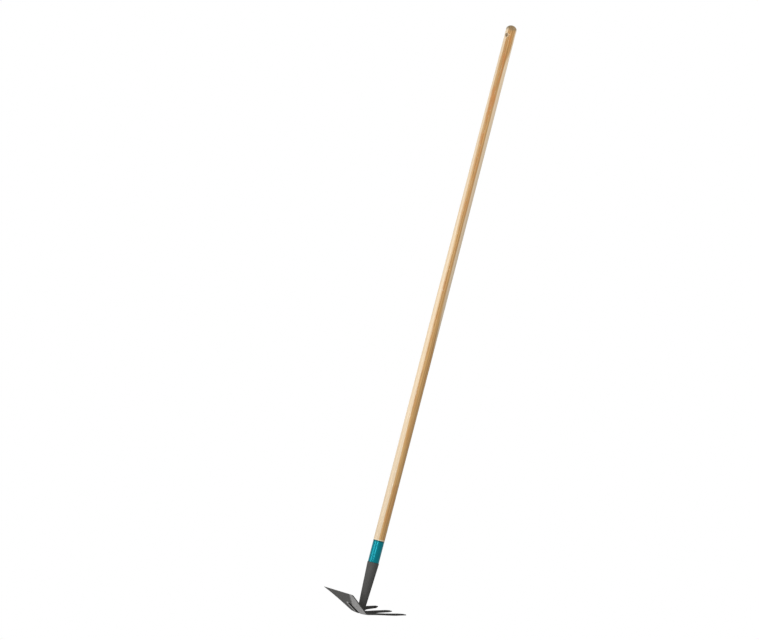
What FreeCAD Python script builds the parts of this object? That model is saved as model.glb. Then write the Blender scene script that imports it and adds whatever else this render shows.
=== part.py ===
"""Double hoe: ash handle, coloured band, tapered steel socket and a pressed head with a blade and three tines.

Frame, in millimetres: +Z runs up the handle, +X points to the tines and -X to the blade. The origin is the
centre of the hanging hole, on the handle's axis.
"""
import FreeCAD, Part
import math
import os

# Handle
STICK_LENGTH = 1308.0
STICK_D = 28.0
STICK_TOP_D = 26.0
TOP_LENGTH = 60.0
PARALLEL_LENGTH = 620.0
DOME_HEIGHT = 10.0
DOME_CORNER_R = 7.0
SPIGOT_DEPTH = 98.0
SPIGOT_CHAMFER = 2.0

# Hanging hole
HOLE_DROP = 25.0
HOLE_D = 9.0
HOLE_FLARE = 2.0

# Band
BAND_LENGTH = 56.0
BAND_WALL = 0.8
BAND_RECESS = 0.2
BAND_EDGE = 0.25

# Socket
SOCKET_LENGTH = 127.0
SOCKET_RIM_D = 29.2
SOCKET_FOOT_D = 17.2
SOCKET_WALL = 1.5
RIM_EDGE = 0.6

# Fits, radial or end to end
BAND_FIT = 0.05
SPIGOT_FIT = 0.12
SCREW_FIT = 0.05
FACE_FIT = 0.05

# Head sheet
SHEET = 3.0
BLADE_ANGLE = 65.0
TINE_ANGLE = 79.2
BEND_SETBACK = 4.0
BEND_RADIUS = 15.0
BLADE_LENGTH = 106.0
EDGE_WIDTH = 97.0
EDGE_CROWN = 1.2
EDGE_CORNER_RADIUS = 1.5
EDGE_REACH_SHARE = 0.95
NECK_WIDTH = 53.0
SIDE_X_SHARE = 0.5
SIDE_Y_SHARE = 0.45
SIDE_RADIUS = 70.0
NECK_RADIUS = 30.0
EDGE_DISH = 0.4
NECK_DISH = 2.2
DISH_RUN = 85.0
BLANK_MARGIN = 4.0

# Tines
TINE_LENGTH = 117.5
TINE_SPREAD = 101.0
TINE_WIDTH = 17.5
TINE_TIP_WIDTH = 12.5
TINE_POINT = 20.0
TINE_TIP_RADIUS = 1.2
TINE_DISH = 1.4
TINE_CROWN = 0.8
SLOT_START = 32.0
SLOT_RADIUS = 4.5
SLOT_WIDTH = 10.8
SHOULDER_SHARE = 0.62
SHOULDER_RADIUS = 55.0

# Ground edges
EDGE_BEVEL = 7.0
EDGE_LAND = 0.6
TIP_BEVEL = 8.0
TIP_LAND = 1.6

# Stiffening pocket across the bend
POCKET_LENGTH = 50.0
POCKET_WIDTH = 11.0
POCKET_SINK = 1.0

# Weld
WELD_LEG = 2.8
WELD_RISE = 2.6
WELD_BEVEL = 2.0

# Fixing screw
SCREW_DROP = 20.0
SCREW_D = 4.0
SCREW_HEAD_D = 7.8
SCREW_HEAD_DEPTH = 2.2
SCREW_CROWN = 0.9
SCREW_LENGTH = 22.0
SCREW_POINT = 4.0
SLOT_CROSS = 4.2
SLOT_CROSS_WIDTH = 0.9
SLOT_CROSS_DEPTH = 1.1

# Cuts run past what they cut by this much
OVERRUN = 20.0

TOP_Z = HOLE_DROP
BAND_TOP_Z = TOP_Z - STICK_LENGTH
RIM_Z = BAND_TOP_Z - BAND_LENGTH
FOOT_Z = RIM_Z - SOCKET_LENGTH
SCREW_Z = RIM_Z - SCREW_DROP

STICK_R = STICK_D / 2
STICK_TOP_R = STICK_TOP_D / 2
BAND_R = STICK_R - BAND_RECESS
NECK_R = BAND_R - BAND_WALL - BAND_FIT
RIM_R = SOCKET_RIM_D / 2
FOOT_R = SOCKET_FOOT_D / 2

X_AXIS = FreeCAD.Vector(1, 0, 0)
Y_AXIS = FreeCAD.Vector(0, 1, 0)
Z_AXIS = FreeCAD.Vector(0, 0, 1)
ORIGIN = FreeCAD.Vector(0, 0, 0)


def vec(x, y, z):
    return FreeCAD.Vector(x, y, z)


def line(a, b):
    return Part.LineSegment(a, b).toShape()


def lines(points):
    return [line(a, b) for a, b in zip(points, points[1:])]


def arc(a, b, c):
    return Part.Arc(a, b, c).toShape()


def arc_about(centre, radius, start, end):
    """Arc about a centre from one unit direction to another."""
    middle = start + end
    middle.normalize()
    return arc(centre + start * radius, centre + middle * radius, centre + end * radius)


def turned(edges):
    """Solid of revolution about Z from edges of a half profile in the XZ plane."""
    return Part.Face(Part.Wire(edges)).revolve(ORIGIN, Z_AXIS, 360)


def rounded_wire(corners):
    """Closed wire through (x, y, radius) corners, with a tangent arc at each corner that has a radius."""
    count = len(corners)
    joints = []
    for i, (x, y, radius) in enumerate(corners):
        here = vec(x, y, 0)
        before = vec(corners[i - 1][0], corners[i - 1][1], 0) - here
        after = vec(corners[(i + 1) % count][0], corners[(i + 1) % count][1], 0) - here
        if radius == 0:
            joints.append((here, None, here))
            continue
        half = before.getAngle(after) / 2
        reach = radius / math.tan(half)
        before.normalize()
        after.normalize()
        middle = before + after
        middle.normalize()
        depth = radius / math.sin(half) - radius
        joints.append((here + before * reach, here + middle * depth, here + after * reach))
    edges = []
    for i, (start, middle, end) in enumerate(joints):
        if middle is not None:
            edges.append(arc(start, middle, end))
        edges.append(line(end, joints[(i + 1) % count][0]))
    return Part.Wire(edges)


def highest(shape):
    return max(shape.Solids, key=lambda solid: solid.CenterOfMass.z)


# Socket


def socket_radius(z):
    """Outer radius of the straight taper at a height."""
    return RIM_R + (FOOT_R - RIM_R) * (RIM_Z - z) / SOCKET_LENGTH


def make_socket_tube():
    """Tapered tube that runs on below the foot, to be cut to the head."""
    low = FOOT_Z - OVERRUN
    shoulder = RIM_Z - RIM_EDGE
    lip = vec(RIM_R - RIM_EDGE, 0, RIM_Z)
    return turned(lines([
        lip,
        vec(socket_radius(shoulder), 0, shoulder),
        vec(FOOT_R, 0, FOOT_Z),
        vec(FOOT_R, 0, low),
        vec(FOOT_R - SOCKET_WALL, 0, low),
        vec(FOOT_R - SOCKET_WALL, 0, FOOT_Z),
        vec(RIM_R - SOCKET_WALL, 0, RIM_Z),
        lip,
    ]))


# Handle


def dome_edges(dome_z):
    """Top end of the half profile: a corner arc that runs into a flatter cap."""
    corner = vec(STICK_TOP_R - DOME_CORNER_R, 0, dome_z)
    cap_r = (STICK_TOP_R ** 2 - STICK_TOP_D * DOME_CORNER_R + DOME_HEIGHT ** 2) / (DOME_HEIGHT - DOME_CORNER_R) / 2
    cap = vec(0, 0, TOP_Z - cap_r)
    way = corner - cap
    way.normalize()
    return [arc_about(corner, DOME_CORNER_R, X_AXIS, way), arc_about(cap, cap_r, way, Z_AXIS)]


def make_handle():
    dome_z = TOP_Z - DOME_HEIGHT
    end_z = RIM_Z - SPIGOT_DEPTH
    shoulder_z = end_z + SPIGOT_CHAMFER
    inset = SOCKET_WALL + SPIGOT_FIT
    shoulder_r = socket_radius(shoulder_z) - inset
    stick = turned(dome_edges(dome_z) + lines([
        vec(0, 0, TOP_Z),
        vec(0, 0, end_z),
        vec(shoulder_r - SPIGOT_CHAMFER, 0, end_z),
        vec(shoulder_r, 0, shoulder_z),
        vec(RIM_R - inset, 0, RIM_Z),
        vec(NECK_R, 0, RIM_Z),
        vec(NECK_R, 0, BAND_TOP_Z),
        vec(STICK_R, 0, BAND_TOP_Z),
        vec(STICK_R, 0, BAND_TOP_Z + PARALLEL_LENGTH),
        vec(STICK_TOP_R, 0, TOP_Z - TOP_LENGTH),
        vec(STICK_TOP_R, 0, dome_z),
    ]))
    return stick.cut(hanging_hole()).cut(screw_space())


def hanging_hole():
    """Drilled along X with a flared rim on both sides."""
    hole_r = HOLE_D / 2
    flare_x = STICK_TOP_R - HOLE_FLARE
    tool = Part.makeCylinder(hole_r, 2 * STICK_D, vec(-STICK_D, 0, 0), X_AXIS)
    for side in (X_AXIS, X_AXIS * -1):
        flare = Part.makeCone(hole_r, hole_r + 2 * HOLE_FLARE, 2 * HOLE_FLARE, side * flare_x, side)
        tool = tool.fuse(flare)
    return tool


# Band


def make_band():
    inner = NECK_R + BAND_FIT
    low = RIM_Z + FACE_FIT
    top = BAND_TOP_Z - FACE_FIT
    corner = vec(inner, 0, low)
    return turned(lines([
        corner,
        vec(BAND_R - BAND_EDGE, 0, low),
        vec(BAND_R, 0, low + BAND_EDGE),
        vec(BAND_R, 0, top - BAND_EDGE),
        vec(BAND_R - BAND_EDGE, 0, top),
        vec(inner, 0, top),
        corner,
    ]))


# Fixing screw


def screw_blank(clearance):
    """Countersunk screw along X, its head flush with the socket on the tine side."""
    face = socket_radius(SCREW_Z)
    head_r = SCREW_HEAD_D / 2 + clearance
    shank_r = SCREW_D / 2 + clearance
    inward = X_AXIS * -1
    head = Part.makeCone(head_r, shank_r, SCREW_HEAD_DEPTH, vec(face, 0, SCREW_Z), inward)
    shank_length = SCREW_LENGTH - SCREW_POINT
    shank = Part.makeCylinder(shank_r, shank_length, vec(face, 0, SCREW_Z), inward)
    point = Part.makeCone(shank_r, clearance, SCREW_POINT, vec(face - shank_length, 0, SCREW_Z), inward)
    return head.fuse([shank, point])


def screw_space():
    face = socket_radius(SCREW_Z)
    opening = Part.makeCylinder(SCREW_HEAD_D / 2 + SCREW_FIT, OVERRUN, vec(face, 0, SCREW_Z), X_AXIS)
    return screw_blank(SCREW_FIT).fuse(opening)


def make_screw():
    """Raised countersunk head with a cross recess."""
    face = socket_radius(SCREW_Z)
    head_r = SCREW_HEAD_D / 2
    ball_r = (head_r ** 2 + SCREW_CROWN ** 2) / (2 * SCREW_CROWN)
    ball = Part.makeSphere(ball_r, vec(face + SCREW_CROWN - ball_r, 0, SCREW_Z))
    crown = ball.common(Part.makeCylinder(head_r, SCREW_CROWN, vec(face, 0, SCREW_Z), X_AXIS))
    screw = screw_blank(0).fuse(crown).removeSplitter()
    depth = SLOT_CROSS_DEPTH + SCREW_CROWN
    for wide, tall in ((SLOT_CROSS, SLOT_CROSS_WIDTH), (SLOT_CROSS_WIDTH, SLOT_CROSS)):
        corner = vec(face + SCREW_CROWN - depth, -wide / 2, SCREW_Z - tall / 2)
        screw = screw.cut(Part.makeBox(2 * depth, wide, tall, corner))
    return screw


# Head


BLADE_RAKE = math.radians(BLADE_ANGLE)
TINE_RAKE = math.radians(TINE_ANGLE)
BLADE_WAY = vec(-math.sin(BLADE_RAKE), 0, math.cos(BLADE_RAKE))
TINE_WAY = vec(math.sin(TINE_RAKE), 0, math.cos(TINE_RAKE))
BLADE_INWARD = vec(math.cos(BLADE_RAKE), 0, math.sin(BLADE_RAKE))
TINE_INWARD = vec(-math.cos(TINE_RAKE), 0, math.sin(TINE_RAKE))
TURN = math.pi - BLADE_RAKE - TINE_RAKE
CORNER = vec(-BEND_SETBACK, 0, FOOT_Z - SHEET / TINE_INWARD.z - BEND_SETBACK / math.tan(TINE_RAKE))
EDGE_X = CORNER.x + BLADE_LENGTH * BLADE_WAY.x
TIP_X = CORNER.x + TINE_LENGTH * TINE_WAY.x
TINE_RUN = TIP_X - CORNER.x
BLADE_RUN = CORNER.x - EDGE_X


def sheet_line(s):
    """Point and inward normal on the outer face's middle line; s is negative on the blade, positive on the tines."""
    tangent = BEND_RADIUS * math.tan(TURN / 2)
    arc_half = BEND_RADIUS * TURN / 2
    if s < -arc_half:
        return CORNER + BLADE_WAY * (tangent - arc_half - s), BLADE_INWARD
    if s <= arc_half:
        lean = BLADE_RAKE + TURN * (s + arc_half) / (2 * arc_half)
        inward = vec(math.cos(lean), 0, math.sin(lean))
        centre = CORNER + BLADE_WAY * tangent + BLADE_INWARD * BEND_RADIUS
        return centre - inward * BEND_RADIUS, inward
    share = min(1, (s - arc_half) / (TINE_LENGTH - tangent))
    arch = TINE_INWARD * (4 * TINE_CROWN * share * (1 - share))
    return CORNER + TINE_WAY * (tangent - arc_half + s) + arch, TINE_INWARD


def dish_curve(s):
    """Rise per squared distance from the middle line, blended from the neck to the edge and along the tines."""
    at_neck = NECK_DISH / (NECK_WIDTH / 2) ** 2
    at_edge = EDGE_DISH / (EDGE_WIDTH / 2) ** 2
    at_tips = TINE_DISH / (TINE_SPREAD / 2) ** 2
    if s < 0:
        return at_neck + (at_edge - at_neck) * min(1, -s / BLADE_LENGTH)
    share = min(1, s / DISH_RUN)
    return at_neck + (at_tips - at_neck) * share * (2 - share)


def sheet_face(rise):
    """Face of the pressed sheet before its outline is cut, dished and bent once, at a rise above its outer side."""
    half = max(EDGE_WIDTH, TINE_SPREAD) / 2 + BLANK_MARGIN
    start = BLADE_LENGTH + BLANK_MARGIN
    end = TINE_LENGTH + BLANK_MARGIN
    rows = 37
    columns = 7
    grid = []
    for i in range(rows):
        s = (start + end) * i / (rows - 1) - start
        foot, inward = sheet_line(s)
        curve = dish_curve(s)
        row = []
        for j in range(columns):
            y = half * (2 * j / (columns - 1) - 1)
            normal = inward - Y_AXIS * (2 * curve * y)
            normal.normalize()
            row.append(foot + Y_AXIS * y + inward * (curve * y * y) + normal * rise)
        grid.append(row)
    surface = Part.BSplineSurface()
    surface.interpolate(grid)
    return surface.toShape()


def sheet_body(low_rise, high_rise):
    """Solid between two such faces."""
    low = sheet_face(low_rise)
    high = sheet_face(high_rise)
    sides = [Part.makeRuledSurface(a, b) for a, b in zip(low.Edges, high.Edges)]
    shell = Part.makeShell([low, high] + sides)
    shell.sewShape()
    body = Part.makeSolid(shell)
    if body.Volume < 0:
        body.reverse()
    return body


def outline_prism():
    """The cut outline in plan, from the cutting edge to the tips, as one tall prism."""
    edge_half = EDGE_WIDTH / 2
    neck_half = NECK_WIDTH / 2
    spread_half = TINE_SPREAD / 2
    tine_half = TINE_WIDTH / 2
    tip_half = TINE_TIP_WIDTH / 2
    crown_r = EDGE_REACH_SHARE * edge_half ** 2 / (2 * EDGE_CROWN)
    side_x = CORNER.x - SIDE_X_SHARE * BLADE_RUN
    side_y = neck_half + SIDE_Y_SHARE * (edge_half - neck_half)
    point_x = TIP_X - TINE_POINT
    slot_x = CORNER.x + SLOT_START
    half = [
        (EDGE_X + EDGE_CROWN, edge_half, EDGE_CORNER_RADIUS),
        (side_x, side_y, SIDE_RADIUS),
        (CORNER.x, neck_half, NECK_RADIUS),
        (CORNER.x + SHOULDER_SHARE * TINE_RUN, spread_half, SHOULDER_RADIUS),
        (TIP_X, spread_half, TINE_TIP_RADIUS),
        (point_x, spread_half - TINE_TIP_WIDTH, TINE_TIP_RADIUS),
        (CORNER.x + TINE_RUN / 2, spread_half - TINE_WIDTH - SLOT_RADIUS / 2, SHOULDER_RADIUS / 2),
        (slot_x, tine_half + SLOT_WIDTH, SLOT_RADIUS),
        (slot_x, tine_half, SLOT_RADIUS),
        (point_x, tip_half, TINE_TIP_RADIUS),
    ]
    mirrored = [(x, -y, radius) for x, y, radius in reversed(half)]
    apex = (EDGE_X - EDGE_CROWN, 0, crown_r)
    wire = rounded_wire([apex] + half + [(TIP_X, 0, TINE_TIP_RADIUS)] + mirrored)
    prism = Part.Face(wire).extrude(Z_AXIS * (BLADE_LENGTH + 2 * OVERRUN))
    prism.translate(Z_AXIS * (CORNER.z - OVERRUN))
    return prism


def pocket_body(thickness):
    """Round-ended bar along the blade's outer face, grown by the sheet's thickness for the outside of the ridge."""
    radius = POCKET_WIDTH / 2 + thickness
    end = CORNER + BLADE_WAY * (POCKET_LENGTH - POCKET_WIDTH / 2) - BLADE_INWARD * POCKET_SINK
    length = POCKET_LENGTH + OVERRUN
    bar = Part.makeCylinder(radius, length, end - BLADE_WAY * length, BLADE_WAY)
    return bar.fuse(Part.makeSphere(radius, end, BLADE_WAY)).removeSplitter()


def bevel_tool(edge, way, inward, length, land, low_y, high_y):
    """Wedge between two widths that grinds the inner face down towards an edge."""
    low = edge + inward * land
    high = edge - way * length + inward * SHEET
    slope = high - low
    slope.normalize()
    low = low - slope * OVERRUN
    high = high + slope * OVERRUN
    corners = [low, high, high + inward * OVERRUN, low + inward * OVERRUN]
    face = Part.Face(Part.makePolygon(corners + [low]))
    face.translate(Y_AXIS * low_y)
    return face.extrude(Y_AXIS * (high_y - low_y))


def make_head():
    pocket = pocket_body(0)
    ridge = pocket_body(SHEET).cut(sheet_body(-OVERRUN, SHEET / 2)).cut(pocket)
    sheet = sheet_body(0, SHEET).cut(pocket).fuse(ridge)
    head = sheet.common(outline_prism())
    edge = CORNER + BLADE_WAY * BLADE_LENGTH
    head = head.cut(bevel_tool(edge, BLADE_WAY, BLADE_INWARD, EDGE_BEVEL, EDGE_LAND, -EDGE_WIDTH, EDGE_WIDTH))
    tip = CORNER + TINE_WAY * TINE_LENGTH
    raised_tip = tip + TINE_INWARD * TINE_DISH
    for point, low_y, high_y in (
        (tip, -TINE_WIDTH, TINE_WIDTH),
        (raised_tip, TINE_WIDTH, TINE_SPREAD),
        (raised_tip, -TINE_SPREAD, -TINE_WIDTH),
    ):
        head = head.cut(bevel_tool(point, TINE_WAY, TINE_INWARD, TIP_BEVEL, TIP_LAND, low_y, high_y))
    return highest(head)


# Weld


def make_weld(tube, head):
    """Mitred bead around the socket's foot that follows the sheet's bend."""
    column = Part.makeCylinder(FOOT_R + WELD_LEG, 2 * OVERRUN, vec(0, 0, FOOT_Z - OVERRUN))
    bead = column.common(sheet_body(SHEET / 2, SHEET + WELD_RISE))
    top = max(bead.Faces, key=lambda face: face.CenterOfMass.z)
    bead = bead.makeChamfer(WELD_BEVEL, top.Edges)
    pieces = bead.cut(tube).cut(head).Solids
    return max(pieces, key=lambda solid: solid.BoundBox.XLength)


def main():
    os.makedirs("parts", exist_ok=True)
    head = make_head()
    tube = make_socket_tube()
    parts = {
        "handle": make_handle(),
        "ferrule_band": make_band(),
        "socket": highest(tube.cut(head)).cut(screw_space()),
        "head_plate": head,
        "foot_weld": make_weld(tube, head),
        "fixing_screw": make_screw(),
    }
    for name, shape in parts.items():
        box = shape.BoundBox
        print(name, shape.isValid(), len(shape.Solids), round(shape.Volume), box)
        shape.exportStep("parts/" + name + ".step")


main()
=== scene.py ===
"""Looks for the garden hoe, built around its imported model. Metres, in the model's own frame."""

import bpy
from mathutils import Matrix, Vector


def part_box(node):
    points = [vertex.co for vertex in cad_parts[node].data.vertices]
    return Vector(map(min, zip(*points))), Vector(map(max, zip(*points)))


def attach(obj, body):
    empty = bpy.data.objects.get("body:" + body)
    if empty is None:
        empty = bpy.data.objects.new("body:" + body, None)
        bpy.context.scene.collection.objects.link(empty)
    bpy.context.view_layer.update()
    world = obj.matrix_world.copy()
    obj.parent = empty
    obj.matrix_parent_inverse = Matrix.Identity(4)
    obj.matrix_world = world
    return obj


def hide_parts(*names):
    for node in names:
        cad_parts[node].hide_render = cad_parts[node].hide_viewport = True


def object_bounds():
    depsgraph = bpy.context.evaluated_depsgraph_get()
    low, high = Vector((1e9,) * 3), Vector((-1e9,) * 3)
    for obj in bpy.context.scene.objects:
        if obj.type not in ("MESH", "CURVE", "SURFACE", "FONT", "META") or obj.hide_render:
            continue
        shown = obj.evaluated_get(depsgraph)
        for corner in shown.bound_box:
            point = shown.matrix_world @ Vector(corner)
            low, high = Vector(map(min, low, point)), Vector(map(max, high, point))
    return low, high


bl_info = {
    "name": "Garden hoe looks",
    "version": (1, 0, 0),
    "blender": (4, 5, 0),
    "location": "View3D > Sidebar > Hoe",
    "description": "Builds the visible pieces, finishes and studio of a double hoe around its CAD model",
    "category": "Object",
}

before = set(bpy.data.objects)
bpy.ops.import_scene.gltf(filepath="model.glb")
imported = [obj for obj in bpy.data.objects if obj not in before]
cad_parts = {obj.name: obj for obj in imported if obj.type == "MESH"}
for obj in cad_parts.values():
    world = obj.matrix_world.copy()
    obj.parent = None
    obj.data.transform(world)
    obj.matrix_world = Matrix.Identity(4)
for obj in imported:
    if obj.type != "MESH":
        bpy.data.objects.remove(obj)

import math

import bmesh
import bpy
from bpy.props import FloatProperty, FloatVectorProperty, IntProperty, PointerProperty
from mathutils import Matrix, Vector
from mathutils.bvhtree import BVHTree

CAD_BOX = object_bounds()
HANDLE_LOW, HANDLE_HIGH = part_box("handle")
BAND_LOW, BAND_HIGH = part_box("ferrule_band")
RIM_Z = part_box("socket")[1].z

# Clearances of the wood in the band and in the socket
BAND_SLIP = 0.00005
SOCKET_SLIP = 0.00012

# Heights of the wood's shoulder, of the end of the socket's taper and of the screw
BAND_TOP_Z = BAND_HIGH.z + BAND_SLIP
FOOT_Z = -1.466
SCREW_Z = -1.359

# Places on the pressed head: where the blade's slant starts, how much longer the slant is than its run along
# X, where the pocket's round end starts along the slant, that end's radius, where the bevels start, and the
# slight curve of the cutting edge
SLANT_X = -0.004
SLANT_LENGTH = 1.1034
POCKET_END = 0.0445
POCKET_RADIUS = 0.0056
BLADE_BEVEL = (0.0927, 0.0933)
TINE_BEVEL = (0.1016, 0.1022)
EDGE_CURVE = 0.51

# The direction across the wood's growth lines, and the distance between them
GRAIN_X = 0.691
GRAIN_Y = 0.723
RING_WIDTH = 0.0052

MERGE_DISTANCE = 0.000001
LEAST_BEVEL_ANGLE = 0.6
ORIGIN = (0.0, 0.0, 0.0)
UPWARDS = (0.0, 0.0, 1.0)
WHITE = (1.0, 1.0, 1.0)


# Settings

def length(name, description, default):
    return FloatProperty(
        name=name, description=description, default=default, unit="LENGTH", subtype="DISTANCE", precision=4)


def colour(name, description, default):
    return FloatVectorProperty(
        name=name, description=description, default=default, size=3, subtype="COLOR", min=0.0, max=1.0)


def power(name, description, default):
    return FloatProperty(name=name, description=description, default=default, min=0.0, unit="POWER")


def count(name, description, default, least, most):
    return IntProperty(name=name, description=description, default=default, min=least, max=most)


class HoeHandleSettings(bpy.types.PropertyGroup):
    diameter: length("Diameter", "Diameter of the parallel part of the stick", 0.028)
    top_diameter: length("Top diameter", "Diameter of the stick's upper end", 0.026)
    top_length: length("Top length", "Length of the parallel upper end", 0.060)
    parallel_length: length("Parallel length", "Length of the parallel part above the band", 0.620)
    dome_height: length("Dome height", "Height of the rounded end", 0.010)
    dome_corner: length("Dome corner", "Radius where the rounded end meets the stick", 0.007)
    hole_diameter: length("Hole diameter", "Diameter of the hanging hole", 0.009)
    hole_flare: length("Hole flare", "How far the hole's rim opens out", 0.002)
    steps: count("Steps", "Facets round the stick", 112, 24, 256)
    # The white wood colour is partly real wood and partly a painted highlight: it covers the stick's lit side
    # and the pale rims at the hole and the shoulder.
    sapwood_and_highlight: colour("Sapwood and highlight", "White outer wood on one side of the stick", (0.75, 0.605, 0.425))
    heartwood: colour("Heartwood", "Tan wood down the other side", (0.575, 0.348, 0.140))
    late_wood: colour("Late wood", "Darker wood in the growth lines", (0.36, 0.185, 0.065))
    amber_wood: colour("Amber wood", "Stained patches in the tan wood", (0.50, 0.20, 0.06))
    # The greyed colour is handled wood on the rounded end and painted shade inside the hanging hole.
    handled_wood_and_hole_shade: colour("Handled wood and hole shade", "Greyed wood on the rounded end and in the hole", (0.20, 0.155, 0.09))


class HoeBandSettings(bpy.types.PropertyGroup):
    wall: length("Wall", "Thickness of the band", 0.0008)
    edge: length("Edge", "Rounding of the band's two edges", 0.00025)
    paint: colour("Colour", "Colour of the glossy band", (0.002, 0.168, 0.208))
    # Painted shade along the band's two edges; the same colour also gives the band's random darker tone.
    shade: colour("Shade", "Darker tone beside the band's edges", (0.002, 0.07, 0.075))


class HoeSteelSettings(bpy.types.PropertyGroup):
    rim_diameter: length("Rim diameter", "Diameter of the socket's upper rim", 0.0292)
    foot_diameter: length("Foot diameter", "Diameter of the socket at the head", 0.0172)
    wall: length("Wall", "Thickness of the socket's wall", 0.0015)
    rim_edge: length("Rim edge", "Rounding of the socket's rim", 0.0006)
    bead: length("Bead", "Radius of the weld bead", 0.0021)
    ripples: count("Ripples", "Ripples round the weld bead", 34, 0, 120)
    coat: colour("Coat", "Dark coat on the socket and the head", (0.084, 0.083, 0.080))
    # This colour is both coat that soil has rubbed thin and a painted highlight on the blade's near flank and
    # the pocket's lip.
    wear_and_painted_light: colour("Worn coat and highlight", "Coat that soil has rubbed thin", (0.37, 0.365, 0.36))
    ground: colour("Ground steel", "Bare steel on the ground edges", (0.56, 0.55, 0.53))
    zinc: colour("Zinc", "Plating of the screw", (0.62, 0.62, 0.60))


class HoeStageSettings(bpy.types.PropertyGroup):
    frame_width: length("Frame width", "Width that the picture spans at the hoe", 1.8648)
    distance: length("Camera distance", "From the camera to the hoe", 8.0)
    floor_drop: length("Floor drop", "From the head down to the floor", 0.34)
    key_power: power("Key power", "Power of the large lamp on the left", 51.0)
    front_power: power("Front power", "Power of the tall narrow lamp beside the camera", 46.0)
    top_power: power("Top power", "Power of the small lamp at the upper right", 6.0)
    ambient: FloatProperty(
        name="Ambient", description="Level of light from all round", default=0.36, min=0.0, max=2.0)
    floor: colour("Floor", "Colour of the pale floor", (0.90, 0.90, 0.90))


# Shader recipes

class Wire:
    """A socket on its way through shader maths: Python's operators add the Math nodes."""

    def __init__(self, recipe, socket):
        self.recipe = recipe
        self.socket = socket

    def math(self, operation, *others):
        return self.recipe.node("ShaderNodeMath", {"operation": operation}, (self,) + others)

    def __add__(self, other):
        return self.math("ADD", other)

    def __radd__(self, other):
        return self.math("ADD", other)

    def __sub__(self, other):
        return self.math("SUBTRACT", other)

    def __rsub__(self, other):
        return self.recipe.node("ShaderNodeMath", {"operation": "SUBTRACT"}, (other, self))

    def __mul__(self, other):
        return self.math("MULTIPLY", other)

    def __rmul__(self, other):
        return self.math("MULTIPLY", other)

    def __truediv__(self, other):
        return self.math("DIVIDE", other)

    def __pow__(self, other):
        return self.math("POWER", other)


class Recipe:
    """Builds the nodes of a material or of the world."""

    def __init__(self, owner):
        owner.use_nodes = True
        self.owner = owner
        self.tree = owner.node_tree

    def node(self, kind, settings=None, values=(), output=0):
        """Adds a node with its settings, then the values or links of its sockets."""
        made = self.tree.nodes.new(kind)
        for key, value in (settings or {}).items():
            setattr(made, key, value)
        pairs = values.items() if isinstance(values, dict) else enumerate(values)
        for key, value in pairs:
            self.put(made.inputs[key], value)
        return Wire(self, made.outputs[output])

    def put(self, socket, value):
        if isinstance(value, Wire):
            self.tree.links.new(value.socket, socket)
        elif hasattr(value, "__len__") and socket.type == "RGBA" and len(value) == 3:
            socket.default_value = (*value, 1.0)
        else:
            socket.default_value = value

    def seen(self):
        """One for rays from the camera, also by way of gloss or glass, and zero for other light."""
        rays = ("Is Camera Ray", "Is Glossy Ray", "Is Transmission Ray")
        camera, glossy, through = [self.node("ShaderNodeLightPath", output=name) for name in rays]
        return camera.math("MAXIMUM", glossy).math("MAXIMUM", through)


class Finish(Recipe):
    """A recipe for a material, round its own shader and in the piece's own coordinates."""

    def __init__(self, name):
        super().__init__(bpy.data.materials.new(name))
        self.shader = self.tree.nodes["Principled BSDF"]
        self.place = self.node("ShaderNodeTexCoord", output="Object")

    def axes(self):
        return [self.node("ShaderNodeSeparateXYZ", values=(self.place,), output=i) for i in range(3)]

    def noise(self, scale, detail, roughness=0.5):
        """Noise from 0 to 1 whose scale is given in waves per metre along X, Y and Z."""
        place = {"Vector": self.place, "Scale": scale}
        stretched = self.node("ShaderNodeMapping", {"vector_type": "POINT"}, place)
        values = {"Vector": stretched, "Scale": 1.0, "Detail": detail, "Roughness": roughness}
        return self.node("ShaderNodeTexNoise", None, values, "Fac")

    def smooth(self, value, low, high):
        """Rises smoothly from 0 at low to 1 at high."""
        settings = {"interpolation_type": "SMOOTHSTEP"}
        values = {"Value": value, "From Min": low, "From Max": high}
        return self.node("ShaderNodeMapRange", settings, values, "Result")

    def mix(self, factor, first, second):
        return self.node("ShaderNodeMix", {"data_type": "RGBA"}, {0: factor, 6: first, 7: second}, 2)

    def bump(self, height, strength, distance):
        values = {"Height": height, "Strength": strength, "Distance": distance}
        self.put(self.shader.inputs["Normal"], self.node("ShaderNodeBump", None, values))

    def finish(self, **values):
        for name, value in values.items():
            self.put(self.shader.inputs[name.replace("_", " ")], value)
        return self.owner


def darker(tone, share):
    """A colour at a share of its brightness."""
    return [channel * share for channel in tone]


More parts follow.
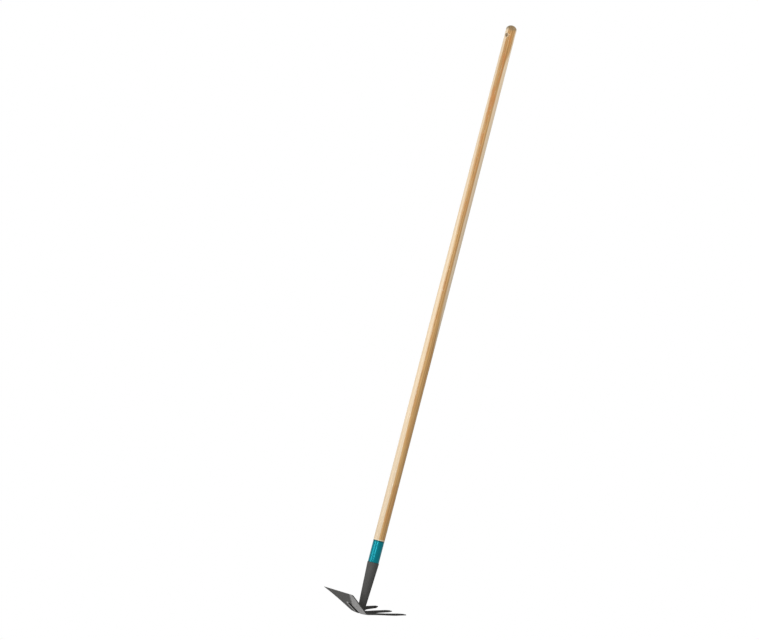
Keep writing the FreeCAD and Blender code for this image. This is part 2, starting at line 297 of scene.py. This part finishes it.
def lacquered_ash(settings):
    """Straight-grained ash under clear lacquer: a tan heart streak that widens downwards, and white outer wood
    down the other side, partly real wood and partly a painted highlight on the lit side.
    """
    recipe = Finish("LacqueredAsh")
    x, y, z = recipe.axes()
    drift = recipe.noise((9.0, 9.0, 2.2), 2.0) - 0.5
    wander = recipe.noise((60.0, 60.0, 6.0), 3.0) - 0.5
    across = x * GRAIN_X - y * GRAIN_Y + drift * 0.006 + wander * 0.0022
    heart = heart_streak(recipe, across, z)
    late = growth_lines(recipe, across + wander * 0.0030)
    fibre = recipe.noise((1500.0, 1500.0, 12.0), 3.0, 0.6)
    pores = recipe.smooth(recipe.noise((2600.0, 2600.0, 60.0), 1.0), 0.60, 0.72)
    board = recipe.noise((30.0, 30.0, 2.4), 2.0)
    streak = recipe.smooth(recipe.noise((380.0, 380.0, 7.0), 3.0, 0.6), 0.34, 0.66)
    # The white side, partly a painted highlight, turns darker towards the bottom.
    pale = recipe.mix(recipe.smooth(z * -1.0, 0.65, 1.25), settings.sapwood_and_highlight, darker(settings.sapwood_and_highlight, 0.86))
    wood = recipe.mix(heart, pale, settings.heartwood)
    tone = (
        late * (heart * 0.52 + 0.10)
        + recipe.smooth(z, -1.0, -0.15) * heart * 0.22
        + (fibre - 0.5) * 0.70
        + (board - 0.5) * heart * 0.9
        + (streak - 0.5) * (heart * 0.58 + 0.13)
        + pores * 0.10
    )
    wood = recipe.mix(tone.math("MAXIMUM", 0.0), wood, settings.late_wood)
    stain = recipe.smooth(recipe.noise((95.0, 95.0, 20.0), 3.0, 0.6), 0.47, 0.60)
    amber = stain * (recipe.smooth(z, -0.45, -0.03) * 0.6 + 0.40)
    wood = recipe.mix(amber * heart * 0.68, wood, settings.amber_wood)
    cut_wood_and_highlight, wear_and_painted_light = rim_and_end_masks(recipe, y, z, settings.hole_diameter / 2)
    # Pale rims at the hole's mouth and at the shoulder: cut wood and a painted highlight.
    wood = recipe.mix(cut_wood_and_highlight, wood, settings.sapwood_and_highlight)
    wood = recipe.mix(wear_and_painted_light.math("MINIMUM", 1.0), wood, settings.handled_wood_and_hole_shade)
    recipe.bump(fibre * 0.5 - late * 0.25 - pores * 0.6, 0.08, 0.0003)
    return recipe.finish(
        Base_Color=wood,
        Roughness=0.42 + fibre * 0.14 + wear_and_painted_light * 0.10,
        Specular_IOR_Level=0.10,
        Coat_Weight=0.12,
        Coat_Roughness=0.10,
    )


def heart_streak(recipe, across, z):
    """Where the tan wood runs: its right edge moves out at the top and in the lower half. The white side beyond
    it is partly a painted highlight, so these edges follow where that highlight falls.
    """
    down = z * -1.0
    left = across - (z * -0.0050 - 0.0067)
    right = across - (recipe.smooth(down, 0.55, 1.05) * 0.016 + recipe.smooth(z, -0.09, -0.02) * 0.006 + 0.0045)
    spread = 1.0 - recipe.smooth(down, 0.40, 1.00) * 0.5
    return recipe.smooth(left / spread, -0.0036, 0.0018) * (1.0 - recipe.smooth(right, -0.0015, 0.0030))


def growth_lines(recipe, across):
    """Late wood: each line darkens slowly over its width and ends at once."""
    place = (across / RING_WIDTH).math("FRACT")
    return recipe.smooth(place, 0.30, 0.92) * (1.0 - recipe.smooth(place, 0.92, 1.0))


def rim_and_end_masks(recipe, y, z, hole):
    """Masks of the pale rims at the hole's mouth and at the shoulder, cut wood that is partly a painted
    highlight on their rounded edges, and of the wood greyed by hands on the rounded end, which inside the hole
    is painted shade.
    """
    out = (y ** 2.0 + z ** 2.0) ** 0.5
    mouth = 1.0 - recipe.smooth(out, hole + 0.0011, hole + 0.0021)
    shoulder = 1.0 - recipe.smooth(z, BAND_TOP_Z + 0.0016, BAND_TOP_Z + 0.0036)
    # Darker wood inside the hole: painted shade.
    bore = 1.0 - recipe.smooth(out, hole - 0.0003, hole + 0.0005)
    blotch = recipe.noise((160.0, 160.0, 90.0), 3.0)
    wear_and_painted_light = recipe.smooth(z + blotch * 0.010, 0.016, 0.0235) * 0.74 + bore * 0.30
    return (mouth + shoulder * 0.9).math("MINIMUM", 1.0), wear_and_painted_light


def glossy_sleeve(settings):
    """Glossy moulded sleeve with faint draw lines, handling marks and painted shade along both edges."""
    recipe = Finish("GlossySleeve")
    z = recipe.axes()[2]
    cloud = recipe.noise((70.0, 70.0, 45.0), 3.0)
    lines = recipe.noise((12.0, 12.0, 3200.0), 2.0)
    rub = recipe.smooth(recipe.noise((500.0, 500.0, 160.0), 4.0, 0.7), 0.58, 0.74)
    # Painted shade along the top edge and along the lower edge at the socket's rim.
    near_top = recipe.smooth(z, BAND_TOP_Z - 0.0040, BAND_TOP_Z - 0.0026)
    near_rim = 1.0 - recipe.smooth(z, RIM_Z + 0.0004, RIM_Z + 0.0020)
    paint = recipe.mix((near_top + near_rim) * 0.85 + (cloud - 0.5) * 0.35, settings.paint, settings.shade)
    recipe.bump(lines * 0.4 + cloud, 0.008, 0.0002)
    return recipe.finish(Base_Color=paint, Roughness=0.26 + rub * 0.06, Metallic=0.34, Specular_IOR_Level=0.08)


def dark_coat(settings, name, sheet):
    """Matt dark coat with orange peel; on the pressed sheet it also has paler rubbed patches, painted highlight
    and painted shade, and is ground off the bevels.
    """
    recipe = Finish(name)
    cloud = recipe.noise((55.0, 55.0, 40.0), 4.0, 0.6)
    peel = recipe.noise((1400.0, 1400.0, 1400.0), 2.0)
    speck = recipe.smooth(recipe.noise((900.0, 900.0, 900.0), 3.0, 0.7), 0.60, 0.72)
    coat = recipe.mix((cloud - 0.3) * 0.7 + speck * 0.25, settings.coat, darker(settings.coat, 0.62))
    rough = 0.46 + cloud * 0.12 + speck * 0.12
    metal = speck * 0.05
    if sheet:
        coat, rough, metal = used_sheet(recipe, settings, coat, rough, metal)
    recipe.bump(peel + cloud * 0.8, 0.22, 0.0002)
    level = 0.0 if sheet else 0.02
    return recipe.finish(Base_Color=coat, Roughness=rough, Metallic=metal, Specular_IOR_Level=level)


def used_sheet(recipe, settings, coat, rough, metal):
    """The coat of the pressed sheet: painted shade on the tines and in the pocket, paler rubbed patches and a
    painted highlight on the blade, ground off the bevels.
    """
    x, y = recipe.axes()[:2]
    facing = recipe.node("ShaderNodeNewGeometry", output="True Normal")
    lift = recipe.node("ShaderNodeSeparateXYZ", values=(facing,), output=2)
    wear_and_painted_light, pocket_shade = sheet_wear_and_painted_light(recipe, x, y, lift)
    # Painted shade: the coat is darker over the tines.
    coat = recipe.mix(recipe.smooth(x, 0.010, 0.030) * 0.6, coat, darker(settings.coat, 0.5))
    coat = recipe.mix(wear_and_painted_light, coat, settings.wear_and_painted_light)
    # Painted shade in the pocket.
    coat = recipe.mix(pocket_shade, coat, darker(settings.coat, 0.3))
    bright = ground_mask(recipe, x, y, lift)
    strokes = recipe.noise((3000.0, 60.0, 3000.0), 2.0)
    steel = recipe.mix(strokes, settings.ground, darker(settings.ground, 0.6))
    coat = recipe.mix(bright, coat, steel)
    rough = rough * (1.0 - bright) + bright * (0.26 + strokes * 0.16)
    metal = metal * (1.0 - bright) + bright * 0.95
    return coat, rough, metal


def sheet_wear_and_painted_light(recipe, x, y, lift):
    """The blade's outer side: a painted highlight on the near flank and on the pocket's far lip, paler patches
    rubbed by soil all over, and painted shade on the pocket's far wall.
    """
    under = recipe.smooth(lift * -1.0, 0.05, 0.20) * recipe.smooth(x * -1.0, 0.003, 0.007)
    patch = recipe.noise((300.0, 300.0, 300.0), 3.0)
    along = (x - SLANT_X) * -SLANT_LENGTH
    beyond = (along - POCKET_END).math("MAXIMUM", 0.0)
    off = (beyond ** 2.0 + y ** 2.0) ** 0.5
    border = (along - 0.040).math("MAXIMUM", 0.0) * -0.54 - 0.0035
    # Painted highlight on the blade's near flank.
    flank = recipe.smooth(border - y + patch * 0.003, 0.0010, 0.0070) * 0.78
    ring = recipe.smooth(off, 0.0050, 0.0057) * (1.0 - recipe.smooth(off, 0.0082, 0.0104))
    # Painted highlight on the pocket's far lip.
    lip = ring * recipe.smooth(y, -0.0030, 0.0010)
    # Painted shade inside the pocket, on its far half.
    pocket_shade = recipe.smooth(POCKET_RADIUS - off, 0.0, 0.0006) * recipe.smooth(y, 0.0, 0.0015)
    # Painted highlight on flank and lip, and random rubbed patches over the whole outer side.
    wear_and_painted_light = ((flank + lip) * (0.70 + patch * 0.6) + patch * 0.26) * under
    return wear_and_painted_light.math("MINIMUM", 1.0), pocket_shade * under


def ground_mask(recipe, x, y, lift):
    """Where the wheel took the coat off: the bevels on the inner side of the cutting edge and of the tips."""
    patch = recipe.noise((420.0, 420.0, 420.0), 3.0) * 0.0012
    blade = recipe.smooth(patch - x + y ** 2.0 * EDGE_CURVE, *BLADE_BEVEL)
    tips = recipe.smooth(x + patch, *TINE_BEVEL)
    return recipe.smooth(lift, 0.05, 0.25) * (blade + tips * 0.85)


def zinc_plate(settings):
    """Bright plating with a faint spangle."""
    recipe = Finish("ZincPlate")
    cloud = recipe.noise((900.0, 900.0, 900.0), 3.0)
    plate = recipe.mix(cloud, settings.zinc, darker(settings.zinc, 0.7))
    recipe.bump(cloud, 0.1, 0.0001)
    return recipe.finish(Base_Color=plate, Roughness=0.24 + cloud * 0.2, Metallic=0.9)


# Making pieces

def object_from(bm, name):
    mesh = bpy.data.meshes.new(name)
    bm.to_mesh(mesh)
    bm.free()
    made = bpy.data.objects.new(name, mesh)
    bpy.context.scene.collection.objects.link(made)
    return made


def piece_from(bm, name, material):
    piece = object_from(bm, name)
    piece.data.materials.append(material)
    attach(piece, "root")
    return piece


def merge_doubles(bm):
    bmesh.ops.remove_doubles(bm, verts=bm.verts, dist=MERGE_DISTANCE)


def spin_about_z(bm, parts, steps):
    bmesh.ops.spin(bm, geom=parts, axis=UPWARDS, angle=math.tau, steps=steps, use_merge=True)
    merge_doubles(bm)


def lathe(profile, steps, closed=False):
    """Turns a profile of (radius, height) corners about Z."""
    bm = bmesh.new()
    points = [bm.verts.new((radius, 0.0, height)) for radius, height in profile]
    ends = points[1:] + points[:1] if closed else points[1:]
    edges = [bm.edges.new(pair) for pair in zip(points, ends)]
    spin_about_z(bm, points + edges, steps)
    bmesh.ops.recalc_face_normals(bm, faces=bm.faces)
    return bm


def round_edges(edges, bm, offset, segments):
    edges = [e for e in edges if e.is_manifold and e.calc_face_angle() > LEAST_BEVEL_ANGLE]
    bmesh.ops.bevel(
        bm, geom=edges, offset=offset, segments=segments, profile=0.5, affect="EDGES", material=-1)


def shade(piece, sharp_angle=35.0):
    piece.data.shade_smooth()
    piece.data.set_sharp_from_angle(angle=math.radians(sharp_angle))


def carve(piece, tool_bm):
    """Cuts a tool's shape out of a piece."""
    tool = object_from(tool_bm, "tool")
    cut = piece.modifiers.new("cut", "BOOLEAN")
    cut.operation = "DIFFERENCE"
    cut.object = tool
    graph = bpy.context.evaluated_depsgraph_get()
    carved = bpy.data.meshes.new_from_object(piece.evaluated_get(graph))
    piece.modifiers.clear()
    piece.data = carved
    bpy.data.objects.remove(tool)


def along_x(bm):
    """Lays a turned tool down along X."""
    bmesh.ops.rotate(bm, verts=bm.verts, cent=ORIGIN, matrix=Matrix.Rotation(math.pi / 2, 3, "Y"))
    return bm


def socket_radius(steel, z):
    """Outer radius of the socket's straight taper."""
    share = (RIM_Z - z) / (RIM_Z - FOOT_Z)
    return steel.rim_diameter / 2 + (steel.foot_diameter - steel.rim_diameter) / 2 * share


def steps_between(low, high, steps):
    return [low + (high - low) * i / steps for i in range(steps + 1)]


def arc(radius, centre_r, centre_z, low, high, steps):
    """Corners of (radius, height) along an arc, from one angle to another."""
    turns = steps_between(low, high, steps)
    return [(centre_r + radius * math.cos(a), centre_z + radius * math.sin(a)) for a in turns]


def dome(handle, top_z):
    """Corners of the rounded end, from the stick to the axis: a tight corner, then a flat cap."""
    radius = handle.top_diameter / 2
    corner = handle.dome_corner
    rise = handle.dome_height
    cap = (radius ** 2 - 2 * radius * corner + rise ** 2) / (2 * (rise - corner))
    meet = math.atan2(cap - rise, radius - corner)
    low = arc(corner, radius - corner, top_z - rise, 0.0, meet, 8)
    high = arc(cap, 0.0, top_z - cap, meet, math.pi / 2, 10)
    return low + high[1:-1] + [(0.0, top_z)]


class HeadBed:
    """Heights of the pressed head's inner side, found by looking straight down on it."""

    look_from = FOOT_Z + 0.05

    def __init__(self, context):
        graph = context.evaluated_depsgraph_get()
        self.tree = BVHTree.FromObject(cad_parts["head_plate"], graph)

    def height(self, x, y):
        place = self.tree.ray_cast(Vector((x, y, self.look_from)), Vector((0.0, 0.0, -1.0)))[0]
        if place is None:
            raise RuntimeError("the socket's foot doesn't stand over the head")
        return place.z


# Operators, one for each piece or group of like pieces

class HOE_OT_handle(bpy.types.Operator):
    """Turn the ash handle with its rounded end, hanging hole, neck and spigot"""
    bl_idname = "hoe.handle"
    bl_label = "Handle"

    spigot_chamfer = 0.002
    shoulder = ((-0.0004, 0.0), (-0.0001, 0.0001), (0.0, 0.0005))
    rings_at_hole = (-0.014, -0.007, 0.0, 0.007)

    def execute(self, context):
        handle = context.scene.hoe_handle
        bm = lathe(self.stick(context.scene) + dome(handle, HANDLE_HIGH.z), handle.steps)
        piece = piece_from(bm, "handle_stick", lacquered_ash(handle))
        carve(piece, self.hole_tool(handle))
        shade(piece)
        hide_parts("handle")
        return {"FINISHED"}

    def stick(self, scene):
        """Corners from the spigot's end up to the rounded end."""
        handle, steel = scene.hoe_handle, scene.hoe_steel
        radius = handle.diameter / 2
        top = handle.top_diameter / 2
        neck = BAND_HIGH.x - scene.hoe_band.wall - BAND_SLIP
        inside = steel.wall + SOCKET_SLIP
        chamfer_z = HANDLE_LOW.z + self.spigot_chamfer
        spigot_end = socket_radius(steel, chamfer_z) - inside
        spigot = [
            (0.0, HANDLE_LOW.z),
            (spigot_end - self.spigot_chamfer, HANDLE_LOW.z),
            (spigot_end, chamfer_z),
            (socket_radius(steel, RIM_Z) - inside, RIM_Z),
            (neck, RIM_Z),
            (neck, BAND_TOP_Z),
        ]
        shoulder = [(radius + r, BAND_TOP_Z + z) for r, z in self.shoulder]
        taper = [(radius, BAND_TOP_Z + handle.parallel_length), (top, HANDLE_HIGH.z - handle.top_length)]
        return spigot + shoulder + taper + [(top, z) for z in self.rings_at_hole]

    def hole_tool(self, handle):
        """Hole with rounded flares on both sides."""
        hole = handle.hole_diameter / 2
        surface = handle.top_diameter / 2
        flare = handle.hole_flare
        turns = steps_between(0.0, 1.35, 6)
        bend = [(hole + flare * (1 - math.cos(a)), surface - flare + flare * math.sin(a)) for a in turns]
        side = bend + [(bend[-1][0] + flare, surface + flare)]
        other_side = [(r, -z) for r, z in reversed(side)]
        profile = [(0.0, -side[-1][1])] + other_side + side + [(0.0, side[-1][1])]
        return along_x(lathe(profile, 48))


class HOE_OT_band(bpy.types.Operator):
    """Turn the thin coloured band between the wood and the socket"""
    bl_idname = "hoe.band"
    bl_label = "Band"

    def execute(self, context):
        band = context.scene.hoe_band
        outside = BAND_HIGH.x
        inside = outside - band.wall
        low, high = BAND_LOW.z, BAND_HIGH.z
        profile = [(inside, low), (outside, low), (outside, high), (inside, high)]
        bm = lathe(profile, context.scene.hoe_handle.steps, closed=True)
        round_edges(bm.edges[:], bm, band.edge, 3)
        piece = piece_from(bm, "band_sleeve", glossy_sleeve(band))
        shade(piece, 60.0)
        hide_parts("ferrule_band")
        return {"FINISHED"}


class HOE_OT_socket(bpy.types.Operator):
    """Turn the tapered socket, with its rounded rim, the sunk hole for the screw and a foot cut to the head"""
    bl_idname = "hoe.socket"
    bl_label = "Socket"

    shank_radius = 0.0021
    countersink_radius = 0.00405
    countersink_depth = 0.0022
    hole_depth = 0.0025
    tool_reach = 0.004

    def execute(self, context):
        steel = context.scene.hoe_steel
        rim = steel.rim_diameter / 2
        foot = steel.foot_diameter / 2
        rings = (RIM_Z - 0.008, SCREW_Z - 0.012)
        profile = [(rim - steel.wall, RIM_Z), (rim - 0.0001, RIM_Z)]
        profile += [(socket_radius(steel, z), z) for z in rings]
        profile += [(foot, FOOT_Z), (foot - steel.wall, FOOT_Z)]
        bm = lathe(profile, context.scene.hoe_handle.steps, closed=True)
        above_foot = [e for e in bm.edges if min(v.co.z for v in e.verts) > FOOT_Z + 0.001]
        round_edges(above_foot, bm, steel.rim_edge, 4)
        self.cut_foot(bm, steel, HeadBed(context))
        piece = piece_from(bm, "socket_tube", dark_coat(steel, "DarkCoatSocket", False))
        carve(piece, self.screw_tool(steel))
        shade(piece)
        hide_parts("socket")
        return {"FINISHED"}

    def cut_foot(self, bm, steel, bed):
        """Moves the lower ends of the walls along the taper on to the head."""
        for vert in bm.verts:
            if vert.co.z < FOOT_Z + 0.0001:
                vert.co.z = bed.height(vert.co.x, vert.co.y)
                spread = socket_radius(steel, vert.co.z) / socket_radius(steel, FOOT_Z)
                vert.co.x *= spread
                vert.co.y *= spread

    def screw_tool(self, steel):
        """Countersink on the tine side, a little wider than the screw's head."""
        face = socket_radius(steel, SCREW_Z)
        profile = [
            (0.0, face - self.hole_depth),
            (self.shank_radius, face - self.hole_depth),
            (self.shank_radius, face - self.countersink_depth),
            (self.countersink_radius, face),
            (self.countersink_radius, face + self.tool_reach),
            (0.0, face + self.tool_reach),
        ]
        bm = along_x(lathe(profile, 40))
        bmesh.ops.translate(bm, verts=bm.verts, vec=(0.0, 0.0, SCREW_Z))
        return bm


class HOE_OT_weld(bpy.types.Operator):
    """Lay the rippled weld bead round the socket's foot, over the bend and the pressed ridge"""
    bl_idname = "hoe.weld"
    bl_label = "Weld bead"

    outwards = 0.35
    upwards = 0.15
    evened_over = (-12, -6, 0, 6, 12)

    def execute(self, context):
        steel = context.scene.hoe_steel
        bed = HeadBed(context)
        ring = steel.foot_diameter / 2 + steel.bead * self.outwards
        bm = bmesh.new()
        section = bmesh.ops.create_circle(bm, segments=14, radius=steel.bead)["verts"]
        bmesh.ops.rotate(bm, verts=section, cent=ORIGIN, matrix=Matrix.Rotation(math.pi / 2, 3, "X"))
        bmesh.ops.translate(bm, verts=section, vec=(ring, 0.0, 0.0))
        spin_about_z(bm, section + bm.edges[:], 216)
        for vert in bm.verts:
            turn = math.atan2(vert.co.y, vert.co.x)
            middle = Vector((math.cos(turn) * ring, math.sin(turn) * ring, 0.0))
            swell = 1.0 + 0.07 * math.cos(steel.ripples * turn) + 0.04 * math.sin(5 * turn + 1.0)
            vert.co = middle + (vert.co - middle) * swell
            vert.co.z += self.even_height(bed, ring, turn) + steel.bead * self.upwards
        bmesh.ops.recalc_face_normals(bm, faces=bm.faces)
        piece = piece_from(bm, "weld_bead", bpy.data.materials["DarkCoatSocket"])
        shade(piece)
        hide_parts("foot_weld")
        return {"FINISHED"}

    def even_height(self, bed, ring, turn):
        """Height of the head under the bead, evened out along it."""
        turns = [turn + math.radians(a) for a in self.evened_over]
        return sum(bed.height(ring * math.cos(a), ring * math.sin(a)) for a in turns) / len(turns)


class HOE_OT_finishes(bpy.types.Operator):
    """Coat the pressed head and plate the screw, whose shapes come from the model"""
    bl_idname = "hoe.finishes"
    bl_label = "Head and screw finishes"

    def execute(self, context):
        steel = context.scene.hoe_steel
        coats = {"head_plate": dark_coat(steel, "DarkCoatHead", True), "fixing_screw": zinc_plate(steel)}
        for node, material in coats.items():
            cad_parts[node].material_slots[0].material = material
        return {"FINISHED"}


class HOE_OT_stage(bpy.types.Operator):
    """Set up the pale floor, the lamps, the surroundings and the camera"""
    bl_idname = "hoe.stage"
    bl_label = "Stage"

    right = Vector((0.669, -0.700, 0.2506)).normalized()
    back = right.cross(Vector((-0.139, 0.212, 0.967))).normalized()
    up = back.cross(right)
    head_foot = Vector((0.0, 0.0, -1.4636))
    floor_radius = 1.3

    def execute(self, context):
        stage = context.scene.hoe_stage
        aim = self.moved(self.head_foot, right=0.0464, up=0.7161)
        self.camera(context, stage, aim)
        key = self.moved(aim, back=1.3, right=-2.6, up=0.1)
        self.lamp("KeyLamp", key, aim, stage.key_power, (1.0, 2.6))
        front = self.moved(aim, back=3.0, right=-0.64)
        self.lamp("FrontLamp", front, aim, stage.front_power, (0.15, 2.6))
        stick_end = self.moved(aim, right=0.17, up=0.70)
        top = self.moved(stick_end, back=0.35, right=0.85, up=0.45)
        self.lamp("TopLamp", top, stick_end, stage.top_power, (0.7, 0.7))
        self.floor(stage)
        self.surroundings(context, stage)
        context.scene.view_settings.view_transform = "Standard"
        return {"FINISHED"}

    def moved(self, point, back=0.0, right=0.0, up=0.0):
        """A point moved along the picture's own directions."""
        return point + self.back * back + self.right * right + self.up * up

    def camera(self, context, stage, aim):
        """Parallel camera that looks at the hoe from the photograph's side."""
        data = bpy.data.cameras.new("Camera")
        data.type = "ORTHO"
        data.ortho_scale = stage.frame_width
        camera = bpy.data.objects.new("Camera", data)
        turn = Matrix((self.right, self.up, self.back)).transposed()
        camera.matrix_world = Matrix.Translation(self.moved(aim, back=stage.distance)) @ turn.to_4x4()
        context.scene.collection.objects.link(camera)
        context.scene.camera = camera

    def lamp(self, name, place, aim, watts, size):
        data = bpy.data.lights.new(name, "AREA")
        data.energy = watts
        data.shape = "RECTANGLE"
        data.size, data.size_y = size
        lamp = bpy.data.objects.new(name, data)
        lamp.location = place
        lamp.rotation_euler = (aim - place).to_track_quat("-Z", "Y").to_euler()
        bpy.context.scene.collection.objects.link(lamp)

    def floor(self, stage):
        bm = bmesh.new()
        bmesh.ops.create_circle(bm, segments=96, radius=self.floor_radius, cap_ends=True)
        bmesh.ops.translate(bm, verts=bm.verts, vec=(0.0, 0.0, CAD_BOX[0].z - stage.floor_drop))
        floor = object_from(bm, "floor")
        floor.data.materials.append(self.floor_paint(stage))

    def floor_paint(self, stage):
        """Pale matt floor that fades into the white surroundings and is clear from below."""
        recipe = Finish("PaleFloor")
        x, y = recipe.axes()[:2]
        fade = recipe.smooth((x ** 2.0 + y ** 2.0) ** 0.5, 0.35, 1.25)
        grain = recipe.noise((30.0, 30.0, 30.0), 3.0)
        tint = recipe.mix(grain * 0.04, stage.floor, darker(stage.floor, 0.9))
        recipe.finish(Base_Color=tint, Roughness=0.9)
        matt = Wire(recipe, recipe.shader.outputs[0])
        glow = recipe.node("ShaderNodeEmission", None, {"Color": WHITE, "Strength": 1.0})
        white = (fade * 0.55 + 0.45) * recipe.seen()
        above = recipe.node("ShaderNodeMixShader", None, {0: white, 1: matt, 2: glow})
        from_below = recipe.node("ShaderNodeNewGeometry", output="Backfacing")
        clear = recipe.node("ShaderNodeBsdfTransparent")
        sided = recipe.node("ShaderNodeMixShader", None, {0: from_below, 1: above, 2: clear})
        recipe.put(recipe.tree.nodes["Material Output"].inputs["Surface"], sided)
        return recipe.owner

    def surroundings(self, context, stage):
        """White for the camera and for gloss, a soft pale level for everything else."""
        recipe = Recipe(bpy.data.worlds.new("Surroundings"))
        background = recipe.tree.nodes["Background"]
        recipe.put(background.inputs["Color"], WHITE)
        strength = recipe.seen() * (1.0 - stage.ambient) + stage.ambient
        recipe.put(background.inputs["Strength"], strength)
        context.scene.world = recipe.owner


class HOE_PT_panel(bpy.types.Panel):
    """The hoe's pieces and settings"""
    bl_label = "Garden hoe"
    bl_idname = "HOE_PT_panel"
    bl_space_type = "VIEW_3D"
    bl_region_type = "UI"
    bl_category = "Hoe"

    def draw(self, context):
        for name in SETTINGS:
            settings = getattr(context.scene, name)
            box = self.layout.box()
            for key in settings.bl_rna.properties.keys():
                if key not in ("rna_type", "name"):
                    box.prop(settings, key)
        for operator in OPERATORS:
            self.layout.operator(operator.bl_idname)


SETTINGS = {
    "hoe_handle": HoeHandleSettings,
    "hoe_band": HoeBandSettings,
    "hoe_steel": HoeSteelSettings,
    "hoe_stage": HoeStageSettings,
}
OPERATORS = (HOE_OT_handle, HOE_OT_band, HOE_OT_socket, HOE_OT_weld, HOE_OT_finishes, HOE_OT_stage)


def register():
    for group in SETTINGS.values():
        bpy.utils.register_class(group)
    for name, group in SETTINGS.items():
        setattr(bpy.types.Scene, name, PointerProperty(type=group))
    for item in OPERATORS + (HOE_PT_panel,):
        bpy.utils.register_class(item)


def unregister():
    for item in (HOE_PT_panel,) + OPERATORS[::-1]:
        bpy.utils.unregister_class(item)
    for name, group in SETTINGS.items():
        delattr(bpy.types.Scene, name)
        bpy.utils.unregister_class(group)


def main():
    register()
    bpy.ops.hoe.handle()
    bpy.ops.hoe.band()
    bpy.ops.hoe.socket()
    bpy.ops.hoe.weld()
    bpy.ops.hoe.finishes()
    bpy.ops.hoe.stage()


if __name__ == "__main__":
    main()
